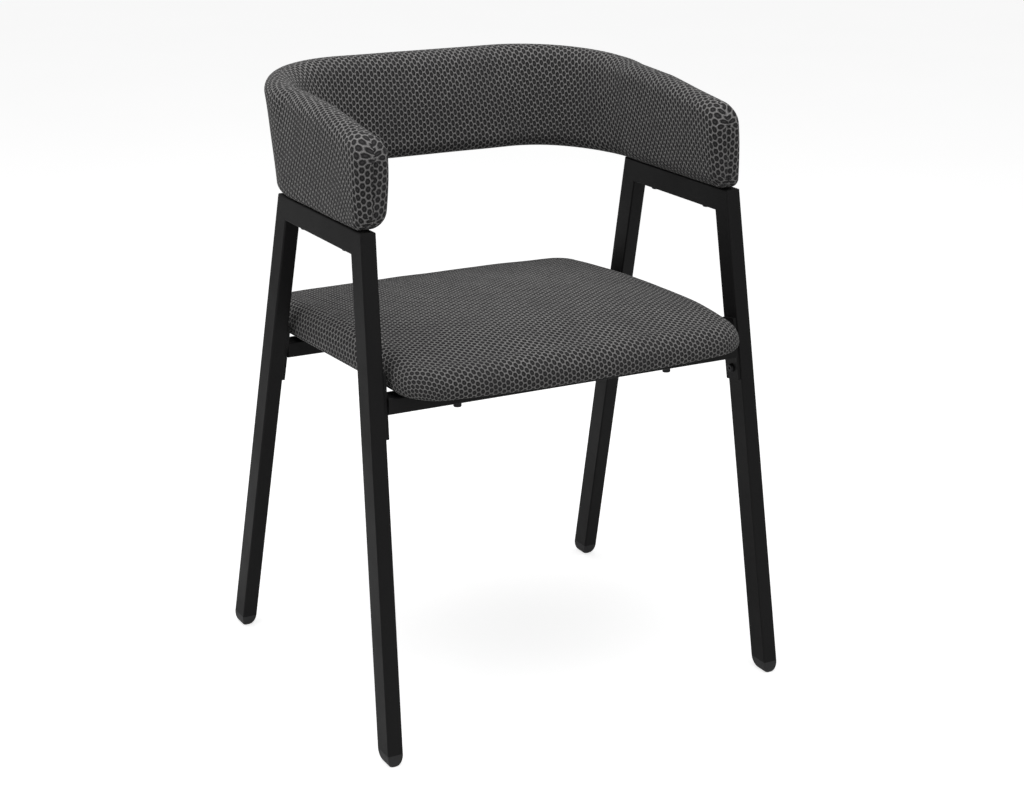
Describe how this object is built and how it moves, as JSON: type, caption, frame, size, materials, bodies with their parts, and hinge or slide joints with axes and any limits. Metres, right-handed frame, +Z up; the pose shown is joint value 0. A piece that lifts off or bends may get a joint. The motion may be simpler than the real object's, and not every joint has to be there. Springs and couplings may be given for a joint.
{
  "type": "dining armchair",
  "caption": "Dining armchair with two welded tube side frames, a padded seat and a padded band that is both backrest and armrests.",
  "frame": {"origin": "middle of the chair's footprint on the floor", "axes": "+Z up, the chair faces -Y, +X is the sitter's left"},
  "size_m": [0.566, 0.4896, 0.772],
  "materials": {
    "frame_paint": "dark charcoal powder coat, fine texture, satin",
    "glide_plastic": "matt black moulded plastic",
    "bolt_steel": "black-oxide M6 screws",
    "zinc_steel": "zinc-plated",
    "plywood": "bare plywood",
    "moulded_core": "moulded stiffener",
    "dust_cloth": "thin black non-woven cloth",
    "foam": "upholstery foam",
    "mesh_fabric": "knitted honeycomb spacer mesh, warm grey over a darker ground"
  },
  "bodies": {
    "root": {"front_left_leg": "frame_paint", "front_right_leg": "frame_paint", "rear_left_leg": "frame_paint", "rear_right_leg": "frame_paint", "left_top_rail": "frame_paint", "right_top_rail": "frame_paint", "front_crossbar": "frame_paint", "rear_crossbar": "frame_paint", "front_left_plate": "frame_paint", "front_right_plate": "frame_paint", "rear_left_plate": "frame_paint", "rear_right_plate": "frame_paint", "front_left_glide": "glide_plastic", "front_right_glide": "glide_plastic", "rear_left_glide": "glide_plastic", "rear_right_glide": "glide_plastic", "plate_bolts": "bolt_steel", "rivet_nuts": "zinc_steel", "seat_bolts": "bolt_steel", "seat_washers": "bolt_steel", "back_bolts": "bolt_steel", "seat_tee_nuts": "zinc_steel", "back_inserts": "zinc_steel", "seat_board": "plywood", "back_board": "moulded_core", "seat_dust_cover": "dust_cloth", "seat_foam": "foam", "back_foam": "foam", "seat_cover": "mesh_fabric", "back_cover": "mesh_fabric"}
  },
  "joints": []
}
